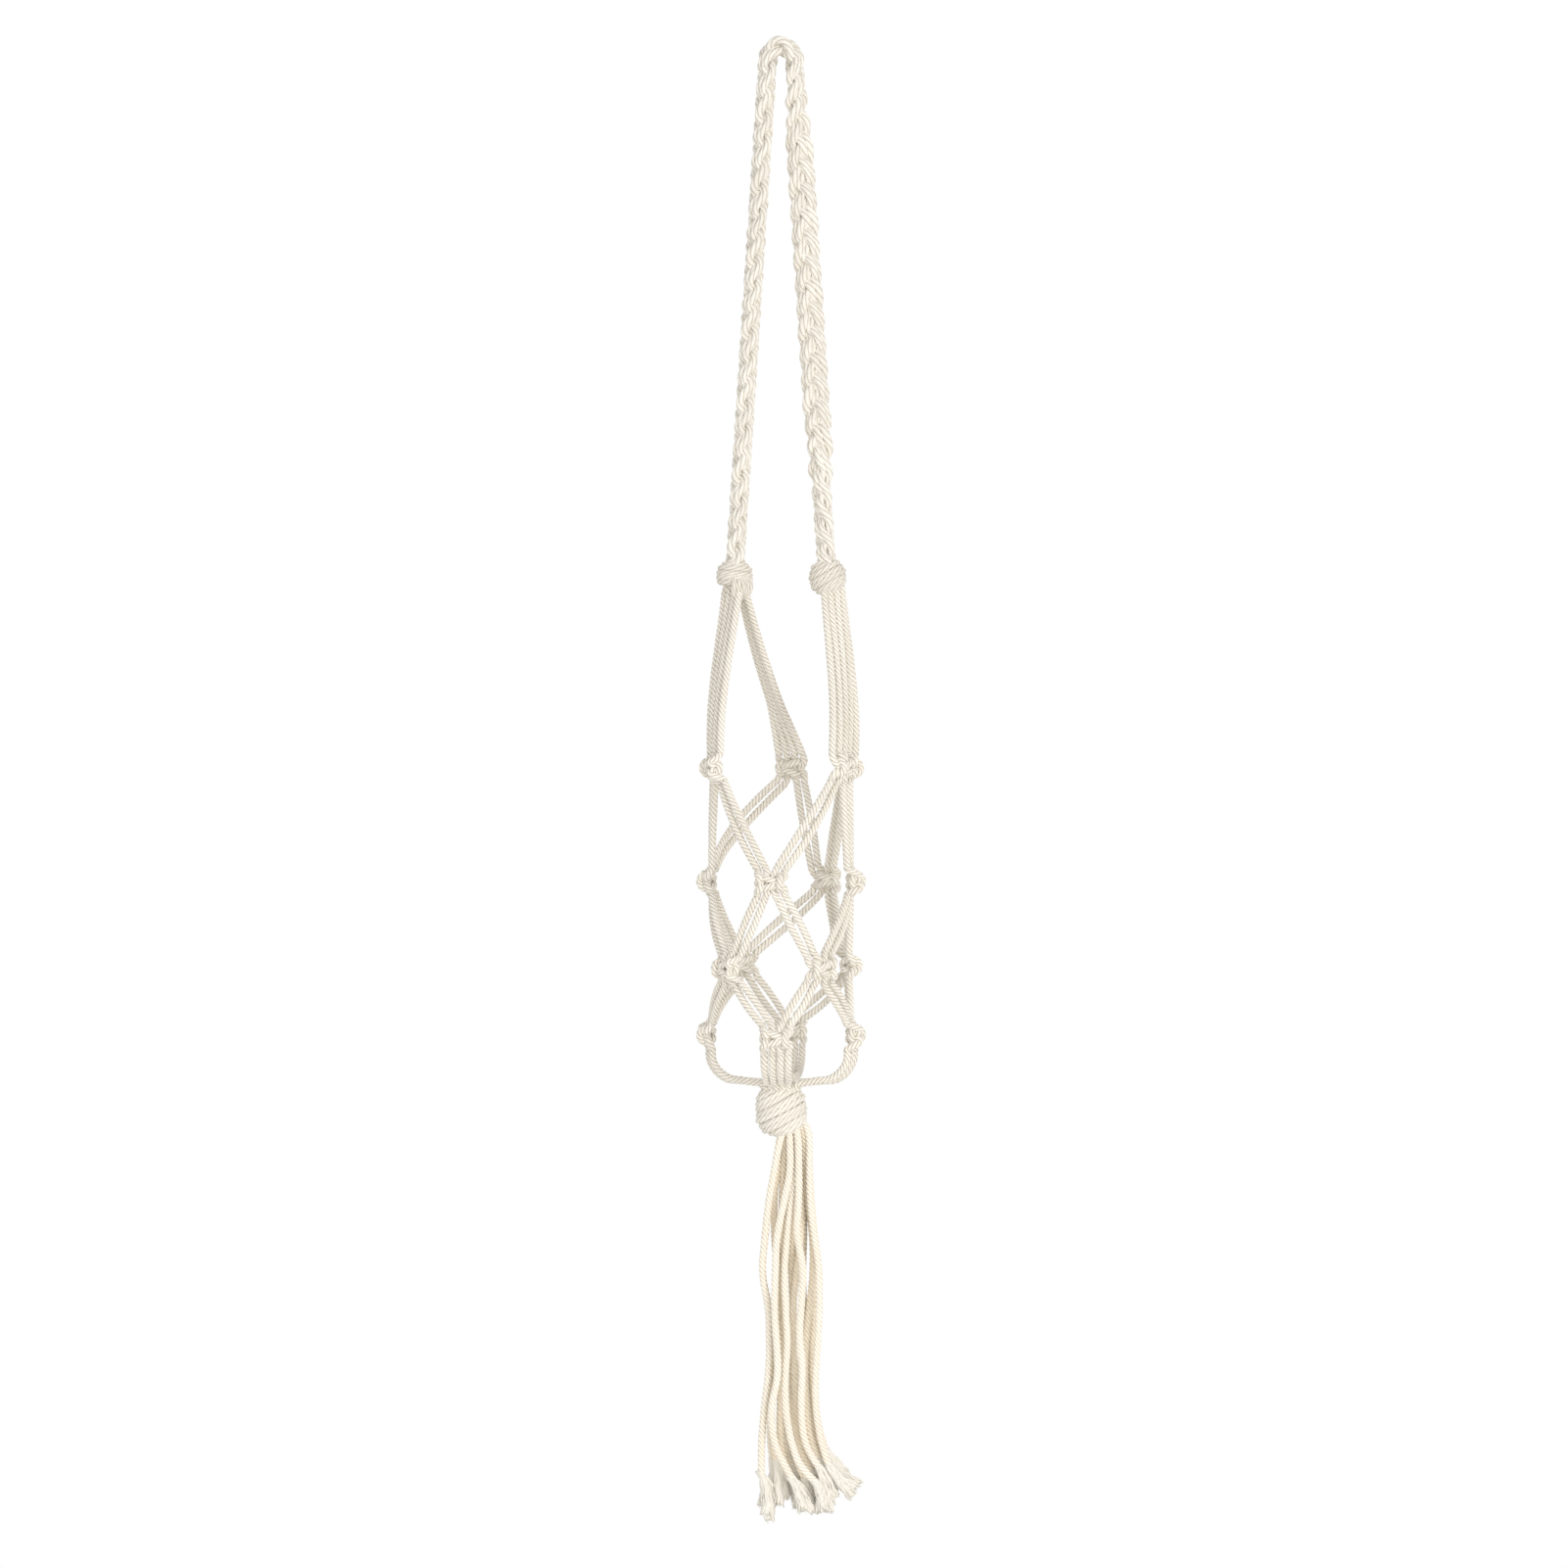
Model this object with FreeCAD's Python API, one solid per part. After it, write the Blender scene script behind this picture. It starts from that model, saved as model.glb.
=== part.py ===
import FreeCAD
import Part
import math
import os
from FreeCAD import Vector

# Knotted cotton carrier, in millimetres, +Z up. The origin is where a hook bears, inside the top of the loop.
# The front faces -Y, and an azimuth of 0 is the front, growing towards +X.

# Cord
cord_d = 4.4  # laid cord that hangs free
cord_gap = 0.3  # room between cords side by side, and between cords and knots
tight_d = 3.0  # the same cord squeezed in a knot
tight_gap = 0.12  # room between squeezed cords
turn_gap = 0.5  # room between the outer turns of a bundle knot

# Braided loop
strand_d = 4.9
strand_count = 3
braid_sway = 5.5  # half of the strands' travel across the braid
braid_lift = 3.8  # half of their travel through it
braid_period = 42.0
braid_steps = 8  # path points in one period
crown_r = 10.2  # bend of the braid's centreline over the hook
crown_tail = 5.0  # length of each leg that belongs to the crown
flat_turn_start = 25.0  # below the crown the right leg turns its flat side to the front and on
flat_turn_length = 230.0
flat_turn = 180.0

# Bundle knots
loop_knot_r = 11.0
loop_knot_mouth_r = 5.0
loop_knot_spread = 27.0  # from the centre plane to each loop knot
loop_knot_drop = 302.0  # from the hook to the loop knots
left_knot_tilt = 4.0
right_knot_tilt = -28.0
base_knot_r = 15.5
base_knot_mouth_r = 8.0
base_knot_drop = 612.0
base_knot_tilt = -28.0

# Pocket
pocket_d = 76.0
floor_drop = 591.5
row_drops = (413.0, 479.0, 528.5, 568.0)
row_azimuths = ((-66, 57, 108, 172), (-8, 84, 142, 263), (-47, 33, 112, 212), (-4, 82, 172, 268))
corner_names = ("front_left", "front_right", "back_right", "back_left")
side_names = ("front", "right", "back", "left")
straight_gap = 0.6  # room between the cords that run straight into the net or out of it
band_pitch = 5.9  # between cords of one band under a loop knot
band_gap = 9.2  # between the middles of the two bands
# Bands in the order of the corners: their loop knot, the way they face from its middle, their cords' order
bands = (("left", -40, 1), ("right", -97.5, -1), ("right", 82.5, 1), ("left", 128, 1))
base_ring_cords = 16
base_ring_turn = -5.5
heel_r = 14.0  # bend of the base cords under the pocket
base_dip = 5.0  # length in which they turn down to it

# Tassel: each row of cords has its depths at even steps down, and each cord its drop, its fan in depth by its
# end and its sideways places at the same steps.
tuft_d = 6.4
tuft_length = 22.0
tassel_least_fall = 9.0  # least height of a cord's start below the middle of the base knot
tassel_rows = {
    "front": (
        (-4.4, -6.0, -7.5, -8.0, -8.6, -9.0),
        (
            (822, 1.0, (-3.4, -5.0, -8.0, -6.0, -9.0, -11.0)),
            (824, -1.5, (1.4, 0.5, -2.0, 0.5, -2.5, -3.0)),
            (826, -4.0, (6.2, 6.5, 4.5, 6.5, 5.5, 12.0)),
            (824, -1.0, (11.0, 12.0, 11.0, 12.5, 13.0, 21.0)),
            (818, 0.5, (15.6, 17.5, 18.0, 18.5, 20.0, 29.0)),
        ),
    ),
    "middle": (
        (0.0, 0.2, -0.4, 0.5, -0.2, 0.3),
        (
            (820, -2.0, (-5.8, -8.0, -11.0, -9.0, -10.5, -8.0)),
            (825, 2.5, (-1.0, -2.5, -4.5, -3.0, -4.5, 1.0)),
            (827, -3.0, (3.8, 3.0, 2.0, 3.5, 1.5, 7.5)),
            (822, 3.0, (8.6, 9.0, 8.0, 9.5, 9.0, 16.5)),
            (816, -2.5, (13.3, 15.0, 16.0, 15.5, 17.5, 26.0)),
            (811, 1.5, (18.0, 21.0, 24.0, 22.5, 25.0, 36.0)),
        ),
    ),
    "back": (
        (4.4, 6.2, 7.2, 8.2, 8.4, 9.0),
        (
            (823, -3.0, (-3.4, -6.5, -9.0, -8.0, -12.0, -10.0)),
            (821, 1.0, (1.4, -0.5, -3.0, -1.0, -4.5, -2.5)),
            (824, 4.0, (6.2, 5.5, 4.0, 6.0, 4.5, 9.0)),
            (820, 1.5, (11.0, 12.0, 12.5, 12.0, 13.5, 20.0)),
            (814, -1.0, (15.6, 18.5, 20.5, 19.5, 22.0, 32.0)),
        ),
    ),
}

# A square knot's upper half, in squeezed cord widths: across, outwards and up. The lower half mirrors it.
over_worker = (
    (-2.85, -0.05, 1.45),
    (-1.75, 0.35, 0.52),
    (-0.7, 1.02, 0.62),
    (0.7, 1.04, 1.2),
    (1.78, 0.3, 1.6),
    (2.78, 0.0, 0.0),
)
under_worker = (
    (2.55, 0.8, 2.2),
    (1.9, 1.48, 1.65),
    (1.88, 1.28, 0.78),
    (1.62, 0.35, 0.52),
    (1.38, -0.55, 0.56),
    (0.55, -1.06, 0.8),
    (-0.7, -1.05, 1.35),
    (-1.7, -0.2, 1.8),
    (-1.92, 1.05, 1.5),
    (-1.85, 1.6, 0.0),
)
filler = ((0.68, 0.0, 2.3), (0.54, 0.0, 0.9))
corner_out = 2.7  # from the knot's middle to the pair of cords at each corner
straight_corner_out = 1.9  # the same where all four cords run straight up or down
corner_rise = 3.4

# Sizes that follow
cord_pitch = cord_d + cord_gap
straight_pitch = cord_d + straight_gap
tight_pitch = tight_d + tight_gap
turn_pitch = tight_d + turn_gap
wall_r = pocket_d / 2 + cord_d / 2
base_ring_r = straight_pitch / (2 * math.sin(math.pi / base_ring_cords))
port_out = corner_out * tight_pitch
port_out_straight = straight_corner_out * tight_pitch
port_rise = corner_rise * tight_pitch
knot_depth = -min(point[1] for point in under_worker) * tight_pitch
knot_lift = knot_depth + tight_d / 2 - cord_d / 2  # a knot's back bears on the same wall as the cords
up = Vector(0, 0, 1)
across = Vector(0, 1, 0)
small = 1e-6
all_nodes = {}
least_radii = {}


def save(name, solids):
    for solid in solids:
        if not solid.isValid() or solid.Volume <= 0:
            raise ValueError(name + " isn't a sound solid")
    all_nodes[name] = solids
    Part.makeCompound(solids).exportStep("parts/" + name + ".step")


def azimuth_vector(degrees, radius):
    angle = math.radians(degrees)
    return Vector(radius * math.sin(angle), -radius * math.cos(angle), 0)


def on_wall(along, out, z):
    # A point of the round wall, from the length along it, the distance out from it and the height.
    angle = along / wall_r
    return Vector((wall_r + out) * math.sin(angle), -(wall_r + out) * math.cos(angle), z)


def wall_direction(along, run, rise):
    angle = along / wall_r
    return (Vector(math.cos(angle), math.sin(angle), 0) * run + up * rise).normalize()


def arc_to(start, heading, end):
    # The arc that leaves a point along a heading and ends at another point, or a straight run.
    chord = end - start
    side = chord - heading * chord.dot(heading)
    if side.Length < small * chord.Length:
        return Part.LineSegment(start, end).toShape()
    side.normalize()
    half = math.atan2(chord.dot(side), chord.dot(heading))
    bulge = heading * math.sin(half) - side * math.cos(half)
    middle = start + chord * 0.5 + bulge * (chord.Length / 2 * math.tan(half / 2))
    return Part.Arc(start, middle, end).toShape()


def biarc(start, heading, end, leaving):
    # Two tangent arcs between two points with given directions.
    chord = end - start
    bend = 2 * (1 - heading.dot(leaving))
    reach = chord.dot(heading + leaving)
    if bend < small:
        handle = chord.dot(chord) / (2 * chord.dot(leaving))
    else:
        handle = (math.sqrt(reach * reach + bend * chord.dot(chord)) - reach) / bend
    joint = (start + end + (heading - leaving) * handle) * 0.5
    second = arc_to(end, leaving * -1, joint)
    second.reverse()
    return [arc_to(start, heading, joint), second]


def headings(points, first, last):
    middle = [(points[i + 1] - points[i - 1]).normalize() for i in range(1, len(points) - 1)]
    return [first] + middle + [last]


def tube(name, points, directions, diameter):
    # A cord along tangent arcs through points with given directions.
    edges = []
    for i in range(len(points) - 1):
        edges += biarc(points[i], directions[i], points[i + 1], directions[i + 1])
    return sweep(name, edges, points[0], directions[0], diameter)


def sweep(name, edges, start, heading, diameter):
    radii = [edge.Curve.Radius for edge in edges if hasattr(edge.Curve, "Radius")]
    least_radii[name] = min(radii + [least_radii.get(name, math.inf)])
    path = Part.Wire(edges)
    section = Part.Wire(Part.Circle(start, heading, diameter / 2).toShape())
    solid = path.makePipeShell([section], True, False)
    expected = math.pi * diameter ** 2 / 4 * path.Length
    if abs(solid.Volume / expected - 1) > 0.001:
        raise ValueError(name + " doesn't have its section times its length")
    return solid


def routed_cord(name, points, diameter):
    # A free cord: straight runs joined by arcs as large as the runs allow.
    edges = []
    last = points[0]
    for before, point, after in zip(points, points[1:], points[2:]):
        arriving = (point - before).normalize()
        leaving = (after - point).normalize()
        cut = 0.45 * min(point.distanceToPoint(before), point.distanceToPoint(after))
        bend_start = point - arriving * cut
        bend_end = point + leaving * cut
        edges.append(Part.LineSegment(last, bend_start).toShape())
        edges.append(arc_to(bend_start, arriving, bend_end))
        last = bend_end
    edges.append(Part.LineSegment(last, points[-1]).toShape())
    return sweep(name, edges, points[0], (points[1] - points[0]).normalize(), diameter)


def least_gap(first, second, diameter):
    return min(a.distanceToPoint(b) for a in first for b in second) - diameter


# The braid follows the crown and two straight legs. Lengths along it count from the crown's top, left to right.
crown_middle = Vector(0, 0, braid_lift + strand_d / 2 - crown_r)
loop_knots = {
    "left": Vector(-loop_knot_spread, 0, -loop_knot_drop),
    "right": Vector(loop_knot_spread, 0, -loop_knot_drop),
}
knot_span = loop_knots["right"] - crown_middle
leg_length = math.sqrt(knot_span.Length ** 2 - crown_r ** 2)
crown_angle = math.atan2(knot_span.x, knot_span.z) - math.acos(crown_r / knot_span.Length)
crown_half = crown_r * crown_angle
strand_slope = math.atan(2 * math.pi * braid_sway / braid_period)
leg_end = crown_half + leg_length - loop_knot_r - cord_gap - strand_d / 2 * math.sin(strand_slope)
crown_end = crown_half + crown_tail


def loop_point(along):
    # The centreline's point, its direction and its outward side.
    angle = max(-crown_angle, min(crown_angle, along / crown_r))
    out = Vector(math.sin(angle), 0, math.cos(angle))
    heading = Vector(math.cos(angle), 0, -math.sin(angle))
    return crown_middle + out * crown_r + heading * (along - angle * crown_r), heading, out


def flat_turn_at(along):
    share = max(0.0, min(1.0, (along - crown_half - flat_turn_start) / flat_turn_length))
    return math.radians(flat_turn) * share * share * (3 - 2 * share)


def strand_point(along, number):
    centre, heading, out = loop_point(along)
    phase = 2 * math.pi * (along / braid_period + number / strand_count)
    turn = flat_turn_at(along)
    wide = across * math.cos(turn) + out * math.sin(turn)
    thick = out * math.cos(turn) - across * math.sin(turn)
    return centre + wide * (braid_sway * math.sin(phase)) + thick * (braid_lift * math.sin(2 * phase))


def strand_tube(name, start, end, number):
    count = math.ceil((end - start) / braid_period * braid_steps)
    places = [start + (end - start) * i / count for i in range(count + 1)]
    probe = braid_period / 1000
    points = [strand_point(place, number) for place in places]
    directions = [
        (strand_point(place + probe, number) - strand_point(place - probe, number)).normalize()
        for place in places
    ]
    return tube(name, points, directions, strand_d)


def braided_loop():
    stretches = {
        "left_braid": (-leg_end, -crown_end),
        "crown_braid": (-crown_end, crown_end),
        "right_braid": (crown_end, leg_end),
    }
    for stretch, (start, end) in stretches.items():
        for number in range(strand_count):
            name = stretch + "_strand_" + str(number + 1)
            save(name, [strand_tube(name, start, end, number)])
    places = [-leg_end + i * braid_period / 60 for i in range(int(120 * leg_end / braid_period))]
    lines = [[strand_point(place, number) for place in places] for number in range(strand_count)]
    gaps = []
    for number in range(strand_count):
        other = lines[(number + 1) % strand_count]
        for i, point in enumerate(lines[number]):
            gaps.append(least_gap([point], other[max(0, i - 30):i + 30], strand_d))
    print("least gap between braid strands", round(min(gaps), 2))


def bundle_knot(name, centre, radius, mouth_r, tilt):
    # The tight bundle that passes through, and the turns of cord round it.
    line_r = radius - tight_d / 2
    ball_r = line_r - tight_d / 2 - tight_gap
    ball = Part.makeSphere(ball_r)
    mouths = Part.makeCylinder(mouth_r, 2 * radius, Vector(0, 0, -radius), up)
    core = ball.fuse(mouths.common(Part.makeSphere(radius - tight_gap))).removeSplitter()
    polar = math.asin((mouth_r + tight_d / 2 + tight_gap) / line_r)
    turns = (math.pi - 2 * polar) * line_r / turn_pitch
    count = math.ceil(4 * turns)

    def turn_point(share):
        down = polar + (math.pi - 2 * polar) * share
        angle = 2 * math.pi * turns * share
        ring = math.sin(down) * line_r
        return Vector(ring * math.sin(angle), -ring * math.cos(angle), math.cos(down) * line_r)

    probe = 1 / (count * 1000)
    shares = [i / count for i in range(count + 1)]
    points = [turn_point(share) for share in shares]
    directions = [(turn_point(share + probe) - turn_point(share - probe)).normalize() for share in shares]
    winding = tube(name + "_turns", points, directions, tight_d)
    fine = [turn_point(i / (count * 8)) for i in range(count * 8 + 1)]
    turn_points = math.floor(count * 8 / turns / 2)
    gap = min(least_gap([fine[i]], fine[i + turn_points:], tight_d) for i in range(len(fine) - turn_points))
    print("least gap between turns of", name, round(gap, 2))
    for shape in (core, winding):
        shape.rotate(Vector(0, 0, 0), across, tilt)
        shape.translate(centre)
    save(name + "_core", [core.Solids[0]])
    save(name + "_turns", [winding])


# Square knots: each has a pair of cords at every corner, and each cord end a point and a downward direction.
def column_name(row, column):
    return (corner_names, side_names)[row % 2][column]


def knot_middle(row, column):
    return wall_r * math.radians(row_azimuths[row][column]), -row_drops[row]


def pair_ports(along, z, run, rise, pitch):
    # The two cords of a pair, left then right as seen from outside.
    ports = []
    for side in (-1, 1):
        shift = side * pitch / 2
        place = along - rise * shift
        ports.append((on_wall(place, 0, z + run * shift), wall_direction(place, run, rise)))
    return ports


def linked_columns(row, column):
    # The knots of the next row that take this knot's left and right pairs.
    count = len(side_names)
    left = column - 1 + row % 2
    return left % count, (left + 1) % count


def netting_ports():
    tops = {}
    bottoms = {}
    rows = range(len(row_drops))
    for row in rows:
        for column in range(len(side_names)):
            along, z = knot_middle(row, column)
            for side in (0, 1):
                sign = 2 * side - 1
                plumb = (0, -1, straight_pitch)
                plumb_along = along + sign * port_out_straight
                if row == 0:
                    tops[row, column, side] = pair_ports(plumb_along, z + port_rise, *plumb)
                if row == rows[-1]:
                    bottoms[row, column, side] = pair_ports(plumb_along, z - port_rise, *plumb)
                    continue
                target = linked_columns(row, column)[side]
                target_along, target_z = knot_middle(row + 1, target)
                wall_length = 2 * math.pi * wall_r
                target_along += wall_length * round((along - target_along) / wall_length)
                start = along + sign * port_out
                end = target_along - sign * port_out
                run = end - start
                rise = (target_z + port_rise) - (z - port_rise)
                length = math.hypot(run, rise)
                slope = (run / length, rise / length, cord_pitch)
                bottoms[row, column, side] = pair_ports(start, z - port_rise, *slope)
                tops[row + 1, target, 1 - side] = pair_ports(end, target_z + port_rise, *slope)
    return tops, bottoms


def square_knot(row, column, tops, bottoms):
    along, z = knot_middle(row, column)
    hand = 1 - 2 * (row % 2)  # alternate rows are tied the other way round

    def place(point, upper):
        side, out, rise = (size * tight_pitch for size in point)
        return on_wall(along + hand * side, out + knot_lift, z + (rise if upper else -rise))

    upper_ends = tops[row, column, 0] + tops[row, column, 1]
    lower_ends = bottoms[row, column, 0] + bottoms[row, column, 1]
    mirrored = tuple((-side, out, rise) for side, out, rise in filler)
    routes = (over_worker, mirrored, filler, under_worker)
    name = "square_knot_row" + str(row + 1) + "_" + column_name(row, column)
    cords = []
    for slot, route in enumerate(routes[::hand]):
        middle = route[-1][2] == 0
        lower = route[:-1] if middle else route
        points = [place(point, True) for point in route]
        points += [place(point, False) for point in reversed(lower)]
        start, heading = upper_ends[slot]
        end, leaving = lower_ends[slot]
        points = [start] + points + [end]
        cords.append(tube(name, points, headings(points, heading, leaving), tight_d))
    save(name, cords)


def netting(tops, bottoms):
    for row in range(len(row_drops)):
        for column in range(len(side_names)):
            square_knot(row, column, tops, bottoms)
    for row in range(len(row_drops) - 1):
        for column in range(len(side_names)):
            name = "mesh_cords_row" + str(row + 1) + "_" + column_name(row, column)
            cords = []
            for side, target in enumerate(linked_columns(row, column)):
                upper_ends = bottoms[row, column, side]
                lower_ends = tops[row + 1, target, 1 - side]
                for (start, heading), (end, leaving) in zip(upper_ends, lower_ends):
                    cords.append(tube(name, [start, end], [heading, leaving], cord_d))
            save(name, cords)


def drop_cords(tops):
    # Two flat bands of four cords run tight from each loop knot to the first row, whose ports follow them.
    half_band = len(side_names) / 2 - 0.5
    for column, (side, face, order) in enumerate(bands):
        outward = azimuth_vector(face, 1)
        along = azimuth_vector(face + 90, order)
        cords = []
        ports = []
        for slot, (end, down) in enumerate(tops[0, column, 0] + tops[0, column, 1]):
            place = along * ((slot - half_band) * band_pitch) + outward * (band_gap / 2)
            run = end - loop_knots[side]
            lean = math.hypot(run.x, run.y) / run.Length
            seat_r = loop_knot_r + cord_gap + lean * cord_d / 2
            fall = math.sqrt(seat_r ** 2 - (place.Length - cord_d / 2) ** 2)
            start = loop_knots[side] + place - up * fall
            heading = (end - start).normalize()
            ports.append((end, heading))
            cords.append(tube("drop_cords", [start, end], [heading, heading], cord_d))
        tops[0, column, 0] = ports[:2]
        tops[0, column, 1] = ports[2:]
        save("drop_cords_" + corner_names[column], cords)


def base_cords(bottoms):
    # Cords pass under the pocket's floor and turn down round the top of the base knot.
    under = -floor_drop - cord_d / 2
    last_row = len(row_drops) - 1
    seat_r = base_knot_r + cord_gap
    polar = math.asin(base_ring_r / seat_r)
    for column, side_name in enumerate(side_names):
        cords = []
        for slot, (start, down) in enumerate(bottoms[last_row, column, 0] + bottoms[last_row, column, 1]):
            turn = base_ring_turn + (4 * column + slot - 1.5) * 360 / base_ring_cords
            outward = azimuth_vector(turn, 1)
            end = outward * (seat_r * math.sin(polar)) + up * (seat_r * math.cos(polar) - base_knot_drop)
            inward = Vector(end.x - start.x, end.y - start.y, 0)
            length = inward.Length
            inward.normalize()
            heel = Vector(start.x, start.y, under + heel_r)
            floor_start = Vector(start.x, start.y, under) + inward * heel_r
            floor_end = Vector(start.x, start.y, under) + inward * (length - base_dip)
            points = [start, heel, floor_start, floor_end, end]
            seat = (outward * -math.sin(polar) - up * math.cos(polar)).normalize()
            cords.append(tube("base_cords", points, [down, up * -1, inward, inward, seat], cord_d))
        save("base_cords_" + side_name, cords)


def tassel():
    reach = base_knot_r + cord_gap
    for row_name, (depths, cords) in tassel_rows.items():
        tubes = []
        tufts = []
        for drop, fan, places in cords:
            edge = max(0.0, math.hypot(places[0], depths[0]) - cord_d / 2)
            fall = max(tassel_least_fall, math.sqrt(max(0.0, reach ** 2 - edge ** 2)))
            top = base_knot_drop + fall
            steps = len(places) - 1
            points = []
            for i, place in enumerate(places):
                share = i / steps
                points.append(Vector(place, depths[i] + fan * share ** 2, -top - (drop - top) * share))
            tubes.append(routed_cord("tassel_cords", points, cord_d))
            heading = (points[-1] - points[-2]).normalize()
            tufts.append(Part.makeCone(cord_d / 2, tuft_d / 2, tuft_length, points[-1], heading))
        save("tassel_cords_" + row_name, tubes)
        save("frayed_ends_" + row_name, tufts)


os.makedirs("parts", exist_ok=True)
braided_loop()
bundle_knot("left_loop_knot", loop_knots["left"], loop_knot_r, loop_knot_mouth_r, left_knot_tilt)
bundle_knot("right_loop_knot", loop_knots["right"], loop_knot_r, loop_knot_mouth_r, right_knot_tilt)
top_ports, bottom_ports = netting_ports()
drop_cords(top_ports)
netting(top_ports, bottom_ports)
base_cords(bottom_ports)
bundle_knot("base_knot", Vector(0, 0, -base_knot_drop), base_knot_r, base_knot_mouth_r, base_knot_tilt)
tassel()
for node, radius in sorted(least_radii.items()):
    print("least bend of", node, round(radius, 2))
print(len(all_nodes), "nodes")
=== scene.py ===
import math
import bpy
import numpy as np
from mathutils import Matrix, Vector


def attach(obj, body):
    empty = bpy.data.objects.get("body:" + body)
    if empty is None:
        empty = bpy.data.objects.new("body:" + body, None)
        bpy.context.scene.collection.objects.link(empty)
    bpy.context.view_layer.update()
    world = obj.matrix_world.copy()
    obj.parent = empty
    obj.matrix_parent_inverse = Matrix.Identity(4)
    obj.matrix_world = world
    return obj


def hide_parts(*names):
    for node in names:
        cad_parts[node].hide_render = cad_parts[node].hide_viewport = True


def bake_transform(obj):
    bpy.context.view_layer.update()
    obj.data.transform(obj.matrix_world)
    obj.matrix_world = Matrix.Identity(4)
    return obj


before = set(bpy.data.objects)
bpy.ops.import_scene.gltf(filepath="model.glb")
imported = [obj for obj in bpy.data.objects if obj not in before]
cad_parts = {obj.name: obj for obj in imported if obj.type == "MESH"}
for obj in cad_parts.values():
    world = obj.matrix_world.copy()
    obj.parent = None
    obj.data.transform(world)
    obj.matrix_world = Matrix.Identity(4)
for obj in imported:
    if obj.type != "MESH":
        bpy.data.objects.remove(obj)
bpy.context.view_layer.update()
mm = 0.001
up = np.array([0.0, 0.0, 1.0])
print("frame loaded with", len(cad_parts), "nodes")


# Camera, light and stage
stageSettings = {
    "framePixels": 1601,
    "scale": 0.5692,  # mm to a pixel
    "plumbColumn": 797.0,  # pixel column of the hanging line
    "hookRow": 58.0,  # pixel row of the hook's bearing point
    "distance": 2.5,
    "sensor": 36.0,
    "floorHeight": -2.2,
    "floorSize": 14.0,
    "floorColour": (0.82, 0.81, 0.79, 1),
    "floorRoughness": 0.9,
    "worldColour": (1.0, 0.985, 0.96, 1),
    "worldStrength": 0.68,
    "lampTarget": (0, 0, -0.42),
    "lamps": (  # place, size, watts, colour
        ((1.6, -2.2, -0.1), 1.2, 29, (1.0, 0.99, 0.97)),
        ((-2.0, -1.8, -0.5), 1.6, 12, (0.98, 0.99, 1.0)),
        ((0.25, -2.4, -0.8), 0.7, 9, (1.0, 0.99, 0.97)),
        ((0.4, 2.0, -0.2), 1.3, 18, (1.0, 0.99, 0.97)),
    ),
}


def aimed(thing, place, target):
    thing.location = place
    thing.rotation_euler = (Vector(target) - Vector(place)).to_track_quat("-Z", "Y").to_euler()
    bpy.context.scene.collection.objects.link(thing)
    return thing


def whiteToCamera(tree, shader, output):
    path = tree.nodes.new("ShaderNodeLightPath")
    seen = tree.nodes.new("ShaderNodeMath")
    seen.operation = "MAXIMUM"
    kind = "ShaderNodeEmission" if output.type == "OUTPUT_MATERIAL" else "ShaderNodeBackground"
    white = tree.nodes.new(kind)
    white.inputs["Color"].default_value = (1, 1, 1, 1)
    white.inputs["Strength"].default_value = 1.0
    mix = tree.nodes.new("ShaderNodeMixShader")
    tree.links.new(path.outputs["Is Camera Ray"], seen.inputs[0])
    tree.links.new(path.outputs["Is Glossy Ray"], seen.inputs[1])
    tree.links.new(seen.outputs[0], mix.inputs[0])
    tree.links.new(shader.outputs[0], mix.inputs[1])
    tree.links.new(white.outputs[0], mix.inputs[2])
    tree.links.new(mix.outputs[0], output.inputs["Surface"])


def setStage():
    s = stageSettings
    scene = bpy.context.scene
    scene.view_settings.view_transform = "Standard"
    middle = (s["framePixels"] - 1) / 2
    target = ((middle - s["plumbColumn"]) * s["scale"] * mm, 0, -(middle - s["hookRow"]) * s["scale"] * mm)
    lens = bpy.data.cameras.new("frontCamera")
    lens.sensor_width = s["sensor"]
    lens.lens = s["sensor"] * s["distance"] / (s["framePixels"] * s["scale"] * mm)
    scene.camera = aimed(
        bpy.data.objects.new("frontCamera", lens), (target[0], -s["distance"], target[2]), target)
    for number, (place, size, watts, colour) in enumerate(s["lamps"]):
        lamp = bpy.data.lights.new("softbox%d" % number, "AREA")
        lamp.size = size
        lamp.energy = watts
        lamp.color = colour
        aimed(bpy.data.objects.new("softbox%d" % number, lamp), place, s["lampTarget"])
    world = scene.world or bpy.data.worlds.new("paleRoom")
    scene.world = world
    world.use_nodes = True
    tree = world.node_tree
    tree.nodes.clear()
    room = tree.nodes.new("ShaderNodeBackground")
    room.inputs["Color"].default_value = s["worldColour"]
    room.inputs["Strength"].default_value = s["worldStrength"]
    whiteToCamera(tree, room, tree.nodes.new("ShaderNodeOutputWorld"))
    half = s["floorSize"] / 2
    corners = [(-half, -half), (half, -half), (half, half), (-half, half)]
    mesh = bpy.data.meshes.new("paleFloor")
    mesh.from_pydata([(x, y, s["floorHeight"]) for x, y in corners], [], [(0, 1, 2, 3)])
    floor = bpy.data.objects.new("paleFloor", mesh)
    scene.collection.objects.link(floor)
    material = bpy.data.materials.new("paleFloor")
    material.use_nodes = True
    tree = material.node_tree
    paint = tree.nodes["Principled BSDF"]
    paint.inputs["Base Color"].default_value = s["floorColour"]
    paint.inputs["Roughness"].default_value = s["floorRoughness"]
    whiteToCamera(tree, paint, tree.nodes["Material Output"])
    mesh.materials.append(material)
    print("stage, lamps and camera set")


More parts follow.
